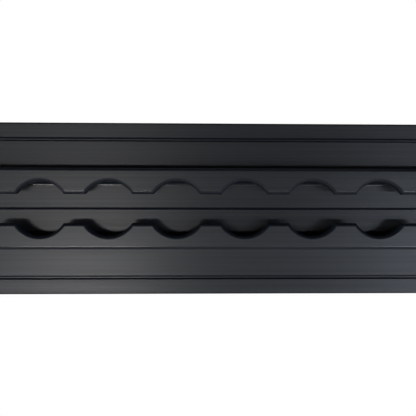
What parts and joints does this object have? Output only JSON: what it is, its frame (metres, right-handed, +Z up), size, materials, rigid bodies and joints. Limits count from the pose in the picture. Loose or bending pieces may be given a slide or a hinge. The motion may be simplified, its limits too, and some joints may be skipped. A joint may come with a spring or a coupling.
{
  "type": "wall rail",
  "caption": "Black anodised aluminium wall rail with a scalloped T-slot, flat flanges, ramped end caps and countersunk screws.",
  "frame": {"origin": "centre of the flat back face, on the wall", "axes": "+X along the rail, +Y into the wall, +Z up; the slot and notches face -Y"},
  "size_m": [0.3428, 0.0297, 0.0666],
  "materials": {
    "anodised_aluminium": "satin black anodised, with fine marks along the extrusion",
    "black_nylon": "fine spark-eroded texture",
    "black_steel": "black oxide, slightly oily"
  },
  "bodies": {
    "root": {"rail": "anodised_aluminium", "end_cap_left": "black_nylon", "end_cap_right": "black_nylon", "channel_screw_left": "black_steel", "channel_screw_right": "black_steel", "end_cap_screw_left": "black_steel", "end_cap_screw_right": "black_steel", "flange_screw_lower_1": "black_steel", "flange_screw_lower_2": "black_steel", "flange_screw_lower_3": "black_steel", "flange_screw_lower_4": "black_steel", "flange_screw_upper_1": "black_steel", "flange_screw_upper_2": "black_steel", "flange_screw_upper_3": "black_steel", "flange_screw_upper_4": "black_steel"}
  },
  "joints": []
}
